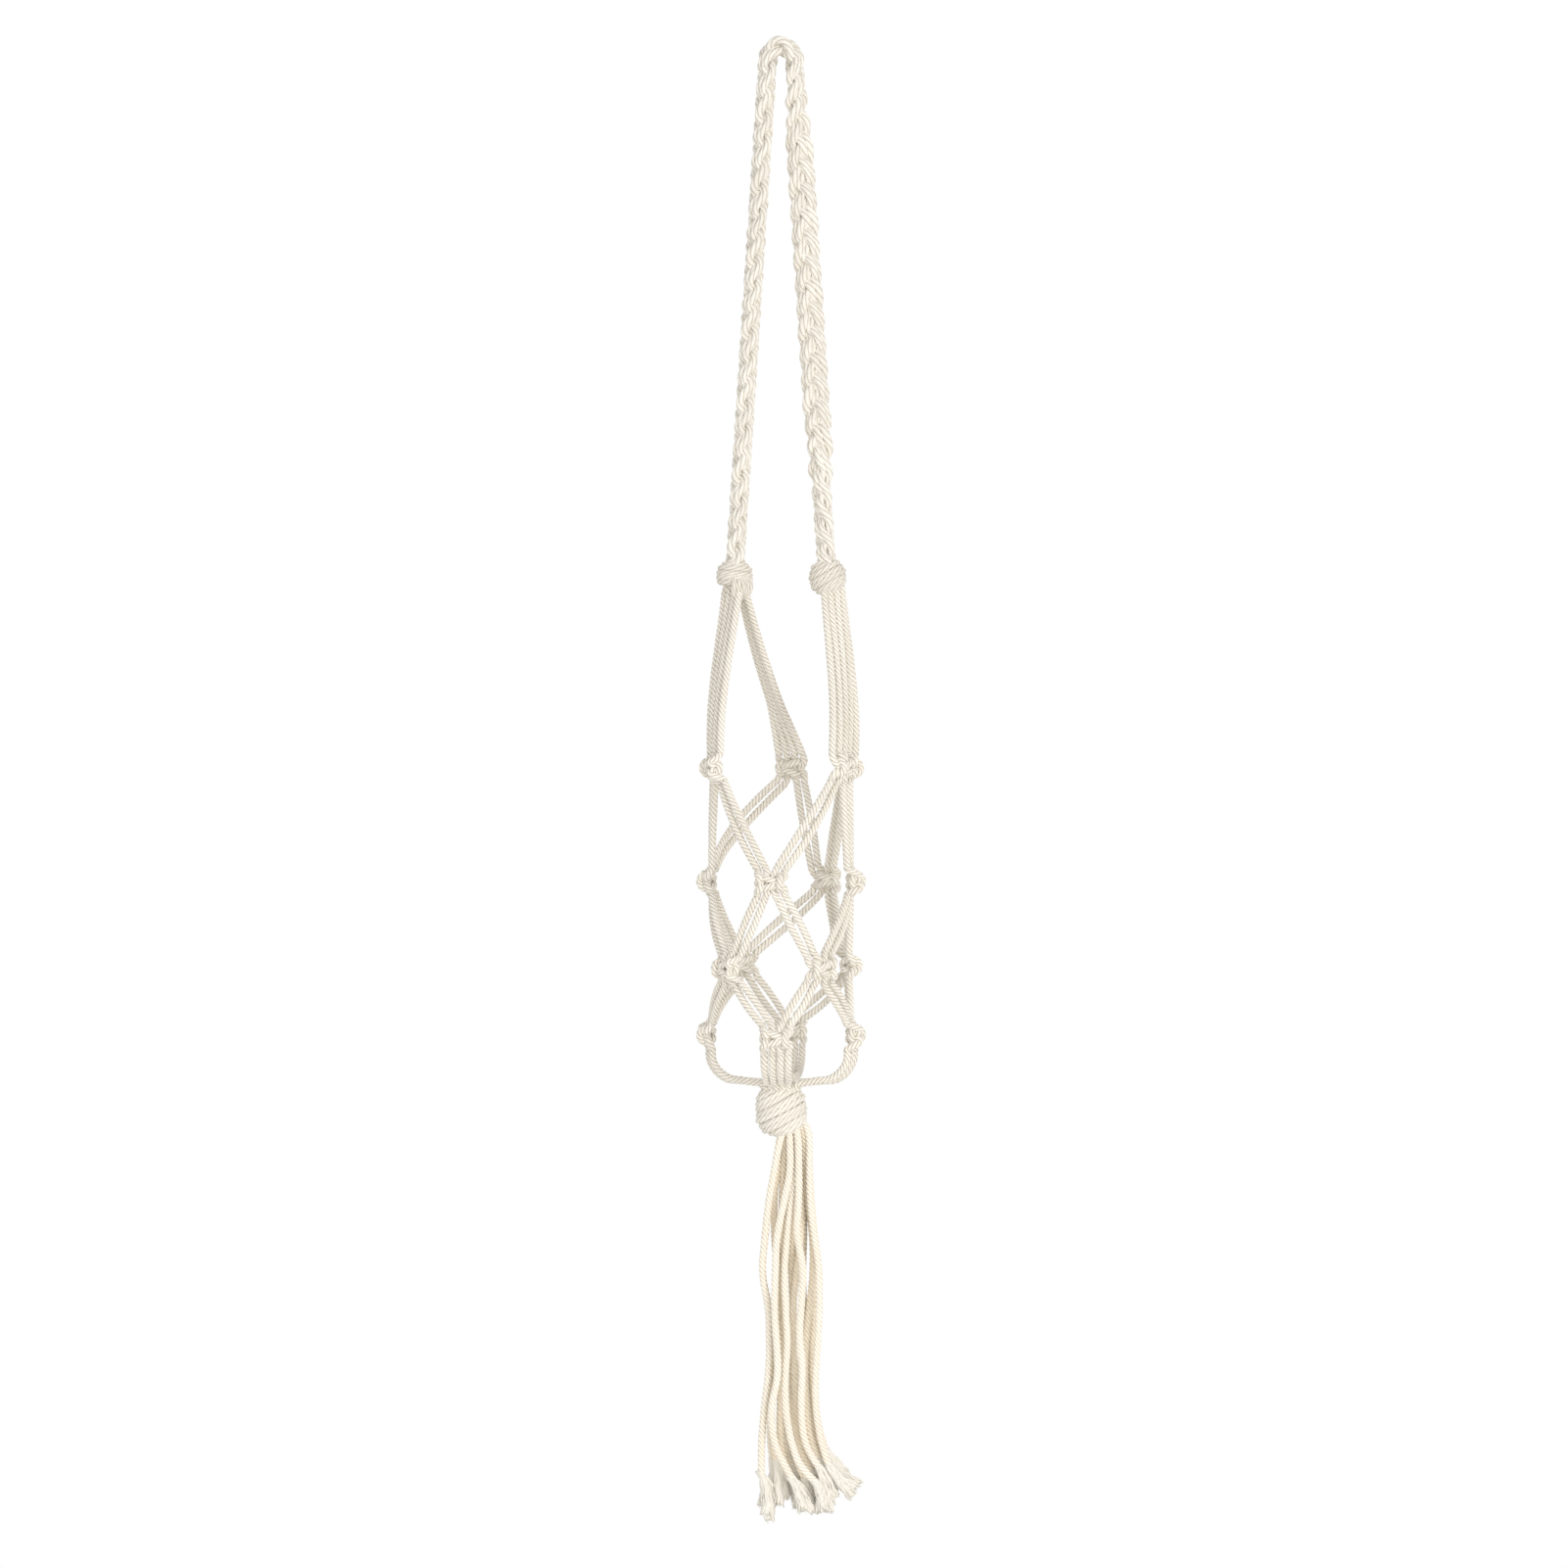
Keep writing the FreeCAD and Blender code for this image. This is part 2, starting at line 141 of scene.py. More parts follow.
# Cotton finish: a shared group for the lay of the cord and its yarns, with shade painted into the bottom of
# the grooves
cottonSettings = {
    # each finish: its crest colour, and a darker groove colour painted as shade at the bottom of the lay's
    # grooves
    "cord": {"crest": (0.92, 0.895, 0.835, 1), "groove": (0.56, 0.495, 0.40, 1), "fibreBump": 0.5},
    "plait": {"crest": (0.92, 0.895, 0.835, 1), "groove": (0.47, 0.41, 0.325, 1), "fibreBump": 0.5},
    "loopKnotShaded": {  # painted shade: a darker copy of the cord for the loop knots, as if lit less
        "crest": (0.84, 0.81, 0.745, 1), "groove": (0.47, 0.41, 0.325, 1), "fibreBump": 0.5},
    # tassel: warmer cotton, and painted lighter than the cord, crest and grooves, to lift the shade between
    # its cords
    "tassel": {"crest": (0.95, 0.92, 0.85, 1), "groove": (0.78, 0.665, 0.51, 1), "fibreBump": 0.5},
    "innerShade": {  # painted shade: yellower, for the golden light bounced among the inner cords
        "crest": (0.955, 0.90, 0.785, 1), "groove": (0.79, 0.66, 0.485, 1), "fibreBump": 0.5},
    # fray: the painted groove shade is kept light, standing in for light passing through the loose fibres
    "fray": {"crest": (0.865, 0.838, 0.772, 1), "groove": (0.81, 0.765, 0.68, 1), "fibreBump": 0.3},
    "fibreScale": 3.4,  # yarns, drawn out along the cord
    "fibreDetail": 2.5,
    "blotchScale": 0.16,  # slow change of tint along it
    "blotchDetail": 2.0,
    "grooveShade": (0.0, 0.82, 0.8, 0.0),  # each range: from, to, and what these become
    "blotchTint": (0.3, 0.7, 0.0, 0.22),
    "fibreTint": (0.35, 0.65, 0.16, -0.04),
    "roughness": (0.0, 1.0, 0.82, 0.97),
    "bumpDepth": 0.00022,
    "specular": 0.2,
    "sheen": 0.18,
    "sheenRoughness": 0.6,
}


def rangeNode(group, source, limits):
    node = group.nodes.new("ShaderNodeMapRange")
    for name, limit in zip(("From Min", "From Max", "To Min", "To Max"), limits):
        node.inputs[name].default_value = limit
    group.links.new(source, node.inputs["Value"])
    return node


def noiseOutput(group, source, name):
    noise = group.nodes.new("ShaderNodeTexNoise")
    noise.inputs["Scale"].default_value = cottonSettings[name + "Scale"]
    noise.inputs["Detail"].default_value = cottonSettings[name + "Detail"]
    group.links.new(source, noise.inputs["Vector"])
    return noise.outputs["Fac"]


def layGroup():
    group = bpy.data.node_groups.new("cottonLay", "ShaderNodeTree")
    for name, kind in (("Crest", "NodeSocketFloat"), ("Yarn", "NodeSocketVector"),
                       ("Crest Colour", "NodeSocketColor"), ("Groove Shade Colour", "NodeSocketColor")):
        group.interface.new_socket(name, in_out="INPUT", socket_type=kind)
    for name, kind in (("Colour", "NodeSocketColor"), ("Roughness", "NodeSocketFloat"),
                       ("Height", "NodeSocketFloat")):
        group.interface.new_socket(name, in_out="OUTPUT", socket_type=kind)
    nodes, links = group.nodes, group.links
    given = nodes.new("NodeGroupInput")
    made = nodes.new("NodeGroupOutput")
    fibres = noiseOutput(group, given.outputs["Yarn"], "fibre")
    blotches = noiseOutput(group, given.outputs["Yarn"], "blotch")
    depth = rangeNode(group, given.outputs["Crest"], cottonSettings["grooveShade"])
    depth.interpolation_type = "SMOOTHSTEP"  # shade only the bottom of the grooves
    tint = rangeNode(group, blotches, cottonSettings["blotchTint"])
    thread = rangeNode(group, fibres, cottonSettings["fibreTint"])
    total = nodes.new("ShaderNodeMath")
    total.operation = "ADD"
    links.new(depth.outputs[0], total.inputs[0])
    links.new(tint.outputs[0], total.inputs[1])
    share = nodes.new("ShaderNodeMath")
    share.operation = "ADD"
    share.use_clamp = True
    links.new(total.outputs[0], share.inputs[0])
    links.new(thread.outputs[0], share.inputs[1])
    mix = nodes.new("ShaderNodeMix")
    mix.data_type = "RGBA"
    links.new(share.outputs[0], mix.inputs["Factor"])
    links.new(given.outputs["Crest Colour"], mix.inputs["A"])
    links.new(given.outputs["Groove Shade Colour"], mix.inputs["B"])
    links.new(mix.outputs["Result"], made.inputs["Colour"])
    rough = rangeNode(group, fibres, cottonSettings["roughness"])
    links.new(rough.outputs[0], made.inputs["Roughness"])
    links.new(fibres, made.inputs["Height"])
    return group


def cottonMaterial(name, finish, group):
    material = bpy.data.materials.new(name)
    material.use_nodes = True
    tree = material.node_tree
    paint = tree.nodes["Principled BSDF"]
    lay = tree.nodes.new("ShaderNodeGroup")
    lay.node_tree = group
    lay.inputs["Crest Colour"].default_value = finish["crest"]
    # the groove colour is painted shade, mixed in only at the bottom of the grooves
    lay.inputs["Groove Shade Colour"].default_value = finish["groove"]
    for attribute, socket, output in (("crest", "Crest", "Fac"), ("yarn", "Yarn", "Vector")):
        read = tree.nodes.new("ShaderNodeAttribute")
        read.attribute_name = attribute
        tree.links.new(read.outputs[output], lay.inputs[socket])
    bump = tree.nodes.new("ShaderNodeBump")
    bump.inputs["Strength"].default_value = finish["fibreBump"]
    bump.inputs["Distance"].default_value = cottonSettings["bumpDepth"]
    tree.links.new(lay.outputs["Height"], bump.inputs["Height"])
    tree.links.new(bump.outputs["Normal"], paint.inputs["Normal"])
    tree.links.new(lay.outputs["Colour"], paint.inputs["Base Color"])
    tree.links.new(lay.outputs["Roughness"], paint.inputs["Roughness"])
    paint.inputs["Specular IOR Level"].default_value = cottonSettings["specular"]
    paint.inputs["Sheen Weight"].default_value = cottonSettings["sheen"]
    paint.inputs["Sheen Roughness"].default_value = cottonSettings["sheenRoughness"]
    return material


# Laid cord as a mesh
ropeSettings = {
    "plies": 4,
    "layLength": 11.0,  # one whole turn of the plies
    "groove": 0.26,  # depth of the grooves, as a share of the radius
    "tightLay": 19.0,  # the same in the bundle knots, where the lay is pulled straight
    "tightGroove": 0.21,
    "sides": 24,
    "ringStep": 0.75,
    "yarnStretch": 0.16,
    "unevenness": 0.03,
    "swells": ((4.7, 5.1), (11.3, 1.7)),  # length and start of the slow changes in width
    "seedTurn": 2.4,  # how far the lay of one cord is turned from the next one's
    "seedYarn": 31.7,
    "sideHint": (0.31, 0.92, 0.23),  # along no cord, so that every first ring has a side
    "capCrest": 0.5,
}


def unit(vectors):
    return vectors / np.linalg.norm(vectors, axis=-1, keepdims=True)


def lengthsAlong(line):
    return np.concatenate([[0.0], np.cumsum(np.linalg.norm(np.diff(line, axis=0), axis=1))])


def evenly(line, step):
    along = lengthsAlong(line)
    places = np.linspace(0, along[-1], max(4, round(along[-1] / step) + 1))
    return np.stack([np.interp(places, along, line[:, k]) for k in range(3)], axis=1)


def curveThrough(points, directions, step):
    pieces = []
    for a, b, leaving, arriving in zip(points, points[1:], directions, directions[1:]):
        chord = np.linalg.norm(b - a)
        t = np.linspace(0, 1, max(3, math.ceil(chord / step)), endpoint=False)[:, None]
        pieces.append(
            (2 * t ** 3 - 3 * t ** 2 + 1) * a + (t ** 3 - 2 * t ** 2 + t) * chord * leaving
            + (3 * t ** 2 - 2 * t ** 3) * b + (t ** 3 - t ** 2) * chord * arriving)
    return np.vstack(pieces + [np.array(points[-1])[None]])


def chordDirections(points, first, last):
    middle = [unit(points[i + 1] - points[i - 1]) for i in range(1, len(points) - 1)]
    return [unit(first)] + middle + [unit(last)]


def smoothStep(t):
    t = np.clip(t, 0, 1)
    return t * t * (3 - 2 * t)


def ropeAlong(line, width, seed, layLength=ropeSettings["layLength"], groove=ropeSettings["groove"]):
    r = ropeSettings
    tangents = unit(np.gradient(line, axis=0))
    side = np.empty_like(line)
    side[0] = unit(np.cross(tangents[0], r["sideHint"]))
    for i in range(1, len(line)):
        side[i] = unit(side[i - 1] - tangents[i] * (side[i - 1] @ tangents[i]))
    over = np.cross(tangents, side)
    along = lengthsAlong(line)
    around = np.arange(r["sides"]) * 2 * math.pi / r["sides"]
    crest = np.abs(np.cos(around * r["plies"] / 2))
    shade = 1 - (1 - crest) * min(1.0, groove / r["groove"])
    turn = around[None] + seed * r["seedTurn"] - 2 * math.pi * along[:, None] / layLength  # left-hand lay
    shortSwell, longSwell = (np.sin(along / size + seed * start) for size, start in r["swells"])
    wave = 1 + r["unevenness"] * shortSwell * longSwell
    reach = (np.broadcast_to(width, along.shape) * wave / 2)[:, None] * (1 - groove * (1 - crest))
    outward = np.cos(turn)[..., None] * side[:, None] + np.sin(turn)[..., None] * over[:, None]
    drawnOut = along[:, None] * r["yarnStretch"] + seed * r["seedYarn"]
    yarn = np.stack([np.cos(turn) * reach, np.sin(turn) * reach,
                     np.broadcast_to(drawnOut, turn.shape)], axis=-1)
    return {"rings": line[:, None] + outward * reach[..., None], "line": line, "yarn": yarn,
            "crest": np.broadcast_to(shade, turn.shape)}


def ropePart(rope, first, last):
    return {key: value[first:last + 1] for key, value in rope.items()}


def tubeArrays(tube):
    count, sides = tube["rings"].shape[:2]
    row = np.arange(count - 1)[:, None] * sides
    a = row + np.arange(sides)
    b = row + (np.arange(sides) + 1) % sides
    quads = np.stack([a, b, b + sides, a + sides], axis=-1).reshape(-1, 4)
    ring = np.arange(sides)
    after = (ring + 1) % sides
    start, end = count * sides, count * sides + 1
    last = (count - 1) * sides
    caps = np.vstack([np.stack([np.full(sides, start), after, ring], axis=-1),
                      np.stack([np.full(sides, end), last + ring, last + after], axis=-1)])
    verts = np.vstack([tube["rings"].reshape(-1, 3), tube["line"][:1], tube["line"][-1:]])
    crest = np.concatenate([tube["crest"].ravel(), [ropeSettings["capCrest"]] * 2])
    yarn = np.vstack([tube["yarn"].reshape(-1, 3), tube["yarn"][0, :1], tube["yarn"][-1, :1]])
    return verts, quads, caps, crest, yarn


def makePiece(name, tubes, material):
    verts, quads, caps, crest, yarn = [], [], [], [], []
    base = 0
    for tube in tubes:
        v, q, c, k, y = tubeArrays(tube)
        verts.append(v)
        quads.append(q + base)
        caps.append(c + base)
        crest.append(k)
        yarn.append(y)
        base += len(v)
    verts, quads, caps = np.vstack(verts) * mm, np.vstack(quads), np.vstack(caps)
    mesh = bpy.data.meshes.new(name)
    mesh.vertices.add(len(verts))
    mesh.vertices.foreach_set("co", verts.astype(np.float32).ravel())
    corners = np.concatenate([quads.ravel(), caps.ravel()])
    mesh.loops.add(len(corners))
    mesh.loops.foreach_set("vertex_index", corners.astype(np.int32))
    starts = np.concatenate([np.arange(len(quads)) * 4, len(quads) * 4 + np.arange(len(caps)) * 3])
    mesh.polygons.add(len(starts))
    mesh.polygons.foreach_set("loop_start", starts.astype(np.int32))
    mesh.polygons.foreach_set("use_smooth", np.ones(len(starts), dtype=bool))
    mesh.update(calc_edges=True)
    mesh.attributes.new("crest", "FLOAT", "POINT").data.foreach_set(
        "value", np.concatenate(crest).astype(np.float32))
    mesh.attributes.new("yarn", "FLOAT_VECTOR", "POINT").data.foreach_set(
        "vector", np.vstack(yarn).astype(np.float32).ravel())
    mesh.materials.append(material)
    piece = bpy.data.objects.new(name, mesh)
    bpy.context.scene.collection.objects.link(piece)
    return piece


# Loop: three strands of two or three cords, plaited flat
braidSettings = {
    "strandCords": (3, 3, 2),
    "layLength": 22.0,
    "groove": 0.2,
    "bundles": {  # each cord's place in its strand, across and outwards, and its width
        3: ((-2.15, -0.8, 4.2), (0.0, 1.35, 4.3), (2.15, -0.8, 4.2)),
        2: ((-1.9, -0.7, 5.0), (1.9, 0.7, 5.0)),
    },
    "sway": 3.9,
    "lift": 2.5,
    "period": 42.0,
    "crownRadius": 7.6,
    "crownRise": 6.25,  # from the hook to the middle of the plait over it
    "crownTail": 5.0,
    "knotSpread": 27.0,
    "knotDrop": 302.0,
    "knotRadius": 11.0,
    "turns": ((8.0, 52.0), (195.0, 70.0)),  # start and length of the right leg's quarter turns
    "intoKnot": 5.0,
    "step": 0.7,
}


def loopFrames(along):
    b = braidSettings
    centre = np.array([0, 0, b["crownRise"] - b["crownRadius"]])
    span = np.array([b["knotSpread"], 0, -b["knotDrop"]]) - centre
    reach = np.linalg.norm(span)
    bend = math.atan2(span[0], span[2]) - math.acos(b["crownRadius"] / reach)
    angle = np.clip(along / b["crownRadius"], -bend, bend)
    nothing = np.zeros_like(angle)
    out = np.stack([np.sin(angle), nothing, np.cos(angle)], axis=1)
    heading = np.stack([np.cos(angle), nothing, -np.sin(angle)], axis=1)
    line = centre + out * b["crownRadius"] + heading * (along - angle * b["crownRadius"])[:, None]
    crownHalf = bend * b["crownRadius"]
    legEnd = crownHalf + math.sqrt(reach ** 2 - b["crownRadius"] ** 2) - b["knotRadius"] + b["intoKnot"]
    quarters = sum(smoothStep((along - crownHalf - start) / run) for start, run in b["turns"])
    turn = quarters[:, None] * math.pi / 2
    across = np.array([0.0, 1.0, 0.0])
    wide = across * np.cos(turn) + out * np.sin(turn)
    thick = out * np.cos(turn) - across * np.sin(turn)
    return line, wide, thick, crownHalf + b["crownTail"], legEnd


def plaitLoop(material):
    b = braidSettings
    crownEnd, legEnd = loopFrames(np.zeros(1))[3:]
    along = np.linspace(-legEnd, legEnd, round(2 * legEnd / b["step"]))
    line, wide, thick = loopFrames(along)[:3]
    first, last = (int(np.searchsorted(along, edge)) for edge in (-crownEnd, crownEnd))
    stretches = {"left": (0, first), "crown": (first, last), "right": (last, len(along) - 1)}
    for number, cords in enumerate(b["strandCords"]):
        phase = (2 * math.pi * (along / b["period"] + number / 3))[:, None]
        strand = line + wide * b["sway"] * np.sin(phase) + thick * b["lift"] * np.sin(2 * phase)
        tangent = unit(np.gradient(strand, axis=0))
        flat = unit(np.cross(tangent, thick))
        face = np.cross(flat, tangent)
        cuts = {stretch: [] for stretch in stretches}
        for cord, (across, out, width) in enumerate(b["bundles"][cords]):
            path = strand + flat * across + face * out
            rope = ropeAlong(path, width, number * 3 + cord, b["layLength"], b["groove"])
            for stretch, ends in stretches.items():
                cuts[stretch].append(ropePart(rope, *ends))
        for stretch, tubes in cuts.items():
            name = "%s_braid_strand_%d" % (stretch, number + 1)
            piece = makePiece(name + "_cords", tubes, material)
            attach(piece, "handle")
            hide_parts(name)
    print("loop plaited from", sum(b["strandCords"]), "cords")


# Net: sixteen cords from the loop knots through four rows of square knots to the base knot
netSettings = {
    "cordWidth": 4.4,
    "knotWidth": 4.2,
    "knotScale": (0.84, 0.92, 0.72),  # the tied knot across, outwards and up, against loose cords
    "pairBow": 0.6,  # how far the cords of a pair part between two knots
    "squeeze": 5.0,  # length in which a cord changes its width at a knot
    "pocketWidth": 76.0,
    "floorDrop": 591.5,
    "rowDrops": (413.0, 479.0, 528.5, 568.0),
    "rowAzimuths": ((-66, 57, 108, 172), (-8, 84, 142, 263), (-47, 33, 112, 212), (-4, 82, 172, 268)),
    "rowNames": (("front_left", "front_right", "back_right", "back_left"),
                 ("front", "right", "back", "left")),  # in turn, from the top row
    "lineStep": 0.5,
    "knotStep": 0.4,
    "firstSeed": 11,
    "tightPitch": 3.12,
    "cordPitch": 4.7,
    "straightPitch": 4.6,
    "cornerOut": 1.95,
    "straightCornerOut": 1.5,
    "cornerRise": 2.8,
    "overWorker": ((-2.85, -0.05, 1.45), (-1.75, 0.35, 0.52), (-0.7, 1.02, 0.62), (0.7, 1.04, 1.2),
                   (1.78, 0.3, 1.6), (2.78, 0.0, 0.0)),
    "underWorker": ((2.55, 0.8, 2.2), (1.9, 1.48, 1.65), (1.88, 1.28, 0.78), (1.62, 0.35, 0.52),
                    (1.38, -0.55, 0.56), (0.55, -1.06, 0.8), (-0.7, -1.05, 1.35), (-1.7, -0.2, 1.8),
                    (-1.92, 1.05, 1.5), (-1.85, 1.6, 0.0)),
    "filler": ((0.68, 0.0, 2.3), (0.54, 0.0, 0.9)),
    "knotLift": 2.61,
    "dropStarts": {  # each cord's place under its loop knot: sideways and in depth
        0: ((-5.6, 2.0), (-2.8, -1.4), (0.0, -4.6), (2.8, -7.4)),
        1: ((-2.0, -5.0), (1.5, -4.8), (5.0, -4.0), (8.2, -2.2)),
        2: ((8.5, 1.5), (6.0, 3.6), (2.5, 5.0), (-1.5, 5.0)),
        3: ((6.5, -2.8), (6.6, 1.2), (5.0, 5.0), (2.9, 8.0)),
    },
    "seatDepth": 0.9,  # share of that distance at which it leaves the knot
    "insideShare": 0.45,
    "insideDrop": 3.0,
    "footOut": (1.9, 1.2, 3.4, 0.0),  # how far each band stands off the pocket where its knot takes it
    "footSpread": (1.0, 1.2, 1.1, 1.0),
    "dropBulge": 2.2,  # how far the bands stand off the pocket above their knots
    "gathered": {  # how far down a band's cords draw together, and their places there
        3: (0.6, ((2.6, -4.8), (0.9, -1.6), (-0.9, 1.6), (-2.6, 4.8))),
    },
    "baseRingTurn": -5.5,
    "baseRing": 8.5,  # where the cords turn down into the base knot
    "heelRadius": 14.0,
    "heelOut": ((0, 0, 0, 0), (0, 1.0, 1.9, 2.6), (0, 0, 0, 0), (2.6, 1.9, 1.0, 0)),  # side cords fan out
    "floorSag": (0.0, 2.0, 0.0, 2.0),  # and hang a little on their way to the base knot
    "baseDip": 5.0,
    "intoBaseKnot": 11.0,
}
wallRadius = (netSettings["pocketWidth"] + netSettings["cordWidth"]) / 2


def azimuthVector(degrees):
    angle = math.radians(degrees)
    return np.array([math.sin(angle), -math.cos(angle), 0.0])


def onWall(along, out, z):
    angle = along / wallRadius
    return np.array([(wallRadius + out) * math.sin(angle), -(wallRadius + out) * math.cos(angle), z])


def wallDirection(along, run, rise):
    angle = along / wallRadius
    return unit(np.array([math.cos(angle) * run, math.sin(angle) * run, rise]))


def pairPorts(along, z, run, rise, pitch, outs=(0, 0)):
    ports = []
    for side, out in zip((-1, 1), outs):
        shift = side * pitch / 2
        place = along - rise * shift
        ports.append((onWall(place, out, z + run * shift), wallDirection(place, run, rise)))
    return ports


def knotMiddle(row, column):
    n = netSettings
    return wallRadius * math.radians(n["rowAzimuths"][row][column]), -n["rowDrops"][row]


def linkedColumns(row, column):
    left = column - 1 + row % 2
    return left % 4, (left + 1) % 4


def netPorts():
    n = netSettings
    tops, bottoms = {}, {}
    rise = n["cornerRise"] * n["tightPitch"]
    for row in range(4):
        for column in range(4):
            along, z = knotMiddle(row, column)
            for side in (0, 1):
                sign = 2 * side - 1
                plumb = along + sign * n["straightCornerOut"] * n["tightPitch"]
                if row == 0:
                    spread = n["footSpread"][column]
                    foot = along + (plumb - along) * spread
                    tops[row, column, side] = pairPorts(foot, z + rise, 0, -1, n["straightPitch"] * spread,
                                                        (n["footOut"][column],) * 2)
                if row == 3:
                    outs = n["heelOut"][column][2 * side:2 * side + 2]
                    bottoms[row, column, side] = pairPorts(plumb, z - rise, 0, -1, n["straightPitch"], outs)
                    continue
                target = linkedColumns(row, column)[side]
                targetAlong, targetZ = knotMiddle(row + 1, target)
                whole = 2 * math.pi * wallRadius
                targetAlong += whole * round((along - targetAlong) / whole)
                start = along + sign * n["cornerOut"] * n["tightPitch"]
                end = targetAlong - sign * n["cornerOut"] * n["tightPitch"]
                slope = np.array([end - start, targetZ - z + 2 * rise])
                slope = slope / np.linalg.norm(slope)
                bottoms[row, column, side] = pairPorts(start, z - rise, *slope, n["cordPitch"])
                tops[row + 1, target, 1 - side] = pairPorts(end, targetZ + rise, *slope, n["cordPitch"])
    return tops, bottoms


def dropStretch(column, slot, tops):
    n, b = netSettings, braidSettings
    knot = np.array([-b["knotSpread"] if column in (0, 3) else b["knotSpread"], 0, -b["knotDrop"]])
    end = tops[0, column, slot // 2][slot % 2][0]
    place = np.array([*n["dropStarts"][column][slot], 0.0])
    fall = math.sqrt(b["knotRadius"] ** 2 - (np.linalg.norm(place) * n["seatDepth"]) ** 2)
    start = knot + place - up * fall
    heading = unit(end - start)
    tops[0, column, slot // 2][slot % 2] = (end, heading)
    inside = knot + place * n["insideShare"] - up * n["insideDrop"]
    points, directions = [inside, start, end], [unit(start - inside), heading, heading]
    if column in n["gathered"]:
        down, places = n["gathered"][column]
        ends = np.mean([tops[0, column, side][half][0] for side in (0, 1) for half in (0, 1)], axis=0)
        middle = knot + np.array([*np.mean(n["dropStarts"][column], axis=0), -b["knotRadius"]])
        gathered = middle + (ends - middle) * down + np.array([*places[slot], 0.0])
        points.insert(2, gathered)
        heading = unit(end - gathered)
        directions = [unit(start - inside), unit(gathered - start), unit(ends - middle), heading]
        tops[0, column, slot // 2][slot % 2] = (end, heading)
    line = curveThrough(points, directions, n["lineStep"])
    share = np.linspace(0, 1, len(line))[:, None]
    fullBulge = 27 / 4  # brings the curve below to 1 at its highest
    return line + unit(line * (1, 1, 0)) * n["dropBulge"] * fullBulge * share ** 2 * (1 - share)


def knotStretch(row, column, slot, top, bottom):
    n = netSettings
    along, z = knotMiddle(row, column)
    hand = 1 - 2 * (row % 2)
    mirrored = tuple((-side, out, rise) for side, out, rise in n["filler"])
    route = (n["overWorker"], mirrored, n["filler"], n["underWorker"])[::hand][slot]

    def place(point, half):
        side, out, rise = (size * n["tightPitch"] * scale for size, scale in zip(point, n["knotScale"]))
        return onWall(along + hand * side, out + n["knotLift"], z + half * rise)

    lower = route[:-1] if route[-1][2] == 0 else route
    points = [top[0]] + [place(p, 1) for p in route] + [place(p, -1) for p in reversed(lower)] + [bottom[0]]
    return curveThrough(points, chordDirections(points, top[1], bottom[1]), n["knotStep"])


def meshStretch(slot, start, end):
    line = curveThrough([start[0], end[0]], [start[1], end[1]], netSettings["lineStep"])
    outward = unit(line * (1, 1, 0))
    sideways = unit(np.cross(outward, np.gradient(line, axis=0)))
    bow = np.sin(np.linspace(0, math.pi, len(line)))[:, None] * netSettings["pairBow"]
    return line + sideways * bow * (2 * (slot % 2) - 1)


def baseStretch(column, slot, port):
    n = netSettings
    start, heading = port
    under = -n["floorDrop"] - n["cordWidth"] / 2
    outward = azimuthVector(n["baseRingTurn"] + (4 * column + slot - 1.5) * 360 / 16)
    inward = np.array([outward[0] * n["baseRing"] - start[0], outward[1] * n["baseRing"] - start[1], 0])
    length = np.linalg.norm(inward)
    inward = inward / length
    foot = np.array([start[0], start[1], under])
    lower = up * n["heelOut"][column][slot] / 2
    points = [start, foot + up * n["heelRadius"], foot + inward * n["heelRadius"] - lower,
              foot + inward * (length - n["baseDip"]) - up * n["floorSag"][column],
              foot + inward * length - up * n["intoBaseKnot"]]
    return curveThrough(points, [heading, -up, inward, inward, -up], n["lineStep"])


def tieNet(material):
    n = netSettings
    tops, bottoms = netPorts()
    pieces = {}
    drops = {(column, slot): dropStretch(column, slot, tops) for column in range(4) for slot in range(4)}
    for firstColumn in range(4):
        for firstSlot in range(4):
            column, slot = firstColumn, firstSlot
            stretches = [("drop_cords_" + n["rowNames"][0][column], drops[column, slot], False)]
            for row in range(4):
                top = tops[row, column, slot // 2][slot % 2]
                bottom = bottoms[row, column, slot // 2][slot % 2]
                place = n["rowNames"][row % 2][column]
                stretches.append(("square_knot_row%d_%s" % (row + 1, place),
                                  knotStretch(row, column, slot, top, bottom), True))
                if row == 3:
                    stretches.append(("base_cords_" + place, baseStretch(column, slot, bottom), False))
                    break
                side = slot // 2
                column, slot = linkedColumns(row, column)[side], (1 - side) * 2 + slot % 2
                target = tops[row + 1, column, slot // 2][slot % 2]
                stretches.append(("mesh_cords_row%d_%s" % (row + 1, place),
                                  meshStretch(slot, bottom, target), False))
            whole = np.vstack([line[:-1] for name, line, tight in stretches] + [stretches[-1][1][-1:]])
            ends = np.cumsum([lengthsAlong(line)[-1] for name, line, tight in stretches])
            path = evenly(whole, ropeSettings["ringStep"])
            along = lengthsAlong(path)
            width = np.full(len(path), n["cordWidth"])
            for i, (name, line, tight) in enumerate(stretches):
                if tight:
                    inside = np.minimum(along - ends[i - 1], ends[i] - along)
                    width -= (n["cordWidth"] - n["knotWidth"]) * smoothStep(inside / n["squeeze"])
            rope = ropeAlong(path, width, firstColumn * 4 + firstSlot + n["firstSeed"])
            cut = 0
            for i, (name, line, tight) in enumerate(stretches):
                last = len(path) - 1 if i == len(stretches) - 1 else int(np.searchsorted(along, ends[i]))
                pieces.setdefault(name, []).append(ropePart(rope, cut, last))
                cut = last
    for name, tubes in pieces.items():
        piece = makePiece(name + "_rope", tubes, material)
        if name.startswith("drop_cords"):
            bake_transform(piece)
        else:
            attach(piece, "pocket")
        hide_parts(name)
    print("net tied in", len(pieces), "pieces")


